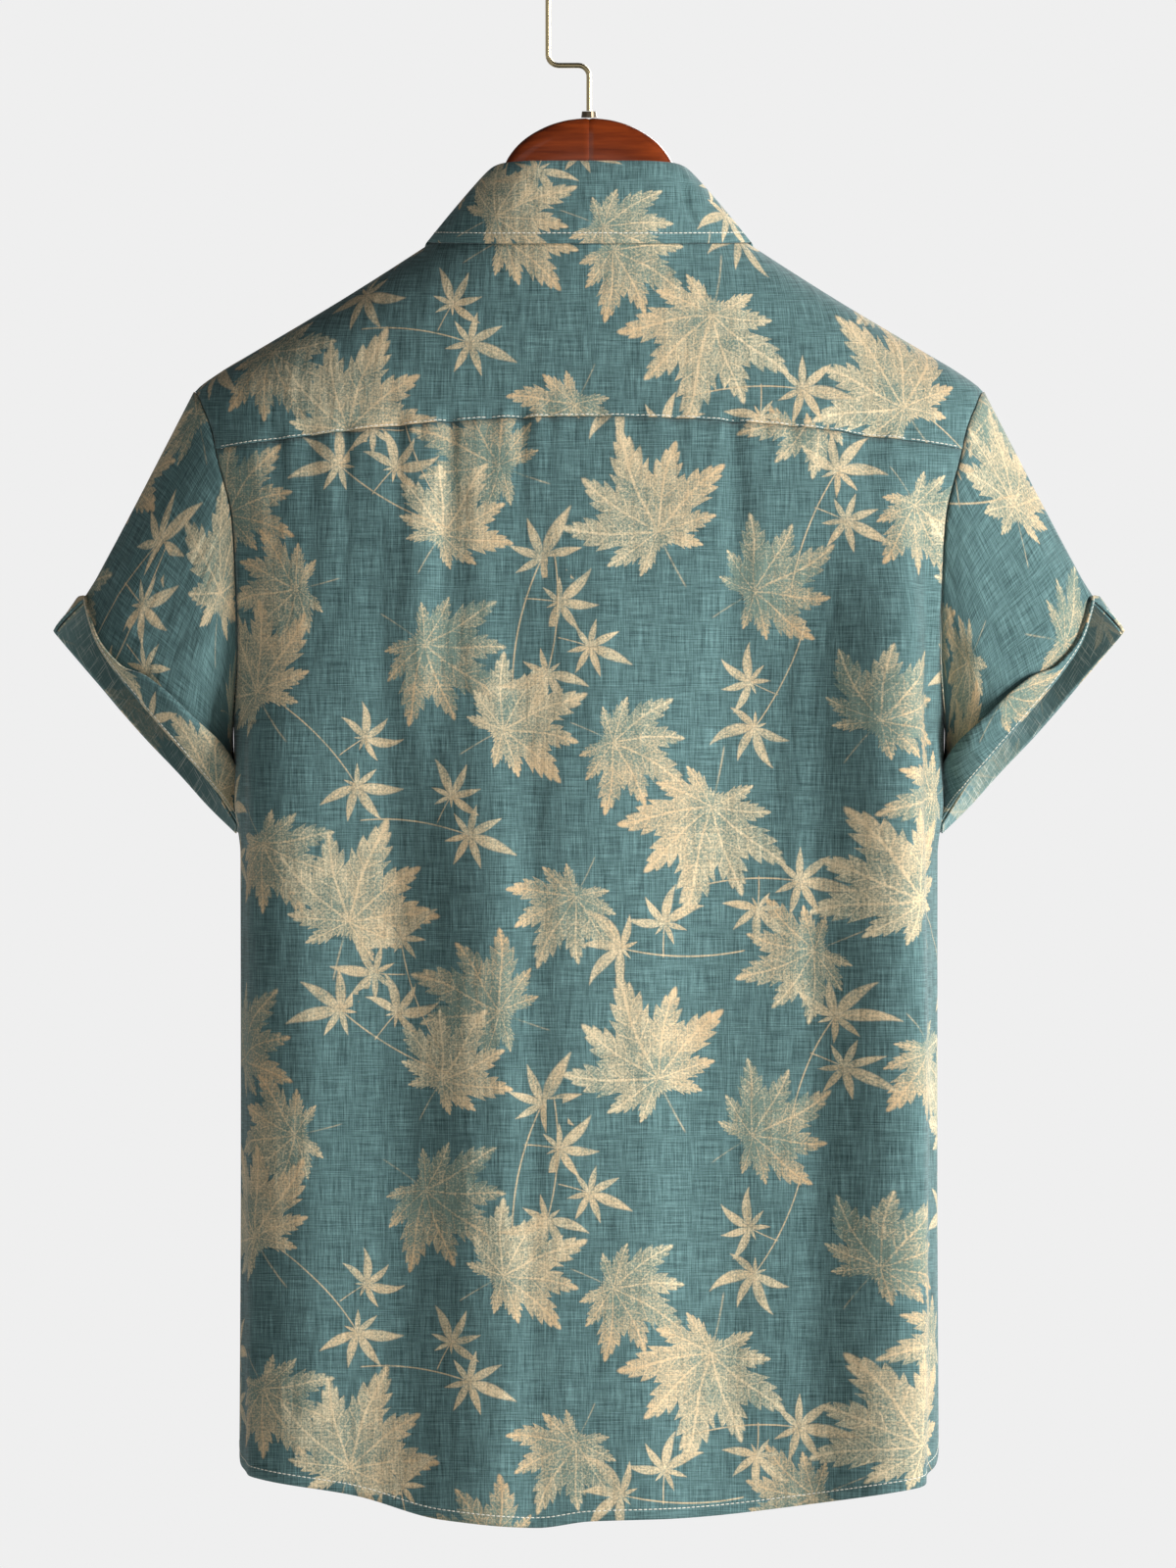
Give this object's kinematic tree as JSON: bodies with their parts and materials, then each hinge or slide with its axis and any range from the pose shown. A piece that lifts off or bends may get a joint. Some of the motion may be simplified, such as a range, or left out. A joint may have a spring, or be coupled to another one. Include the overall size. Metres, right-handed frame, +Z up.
{
  "type": "hawaiian shirt on a clothes hanger",
  "caption": "Short-sleeved leaf-print shirt with a turned-down collar, back yoke, turned-up cuffs and curved hem, buttoned up and hung on a wooden hanger with a cranked wire hook",
  "frame": {"origin": "inside top of the hook's bend, where it rests on a rail", "axes": "+Z up, +X to the wearer's left, -Y out of the shirt's buttoned front"},
  "size_m": [0.6274, 0.1836, 0.9193],
  "materials": {
    "cloth": "plain slub weave in dusty teal, printed with sand-coloured leaves, matt",
    "button": "polished, cream",
    "hanger_wood": "red-brown stain under gloss lacquer",
    "hook_wire": "nickel-plated wire, slightly warm"
  },
  "bodies": {
    "root": {"back_yoke": "cloth", "back_panel": "cloth", "left_front": "cloth", "right_front": "cloth", "button_placket": "cloth", "collar_stand": "cloth", "collar_fall": "cloth", "left_sleeve": "cloth", "right_sleeve": "cloth", "left_cuff": "cloth", "right_cuff": "cloth", "button_1": "button", "button_2": "button", "button_3": "button", "button_4": "button", "button_5": "button", "button_6": "button", "collar_button": "button", "hanger_left_arm": "hanger_wood", "hanger_right_arm": "hanger_wood", "hanger_nut": "hook_wire", "hanger_hook": "hook_wire"}
  },
  "joints": []
}
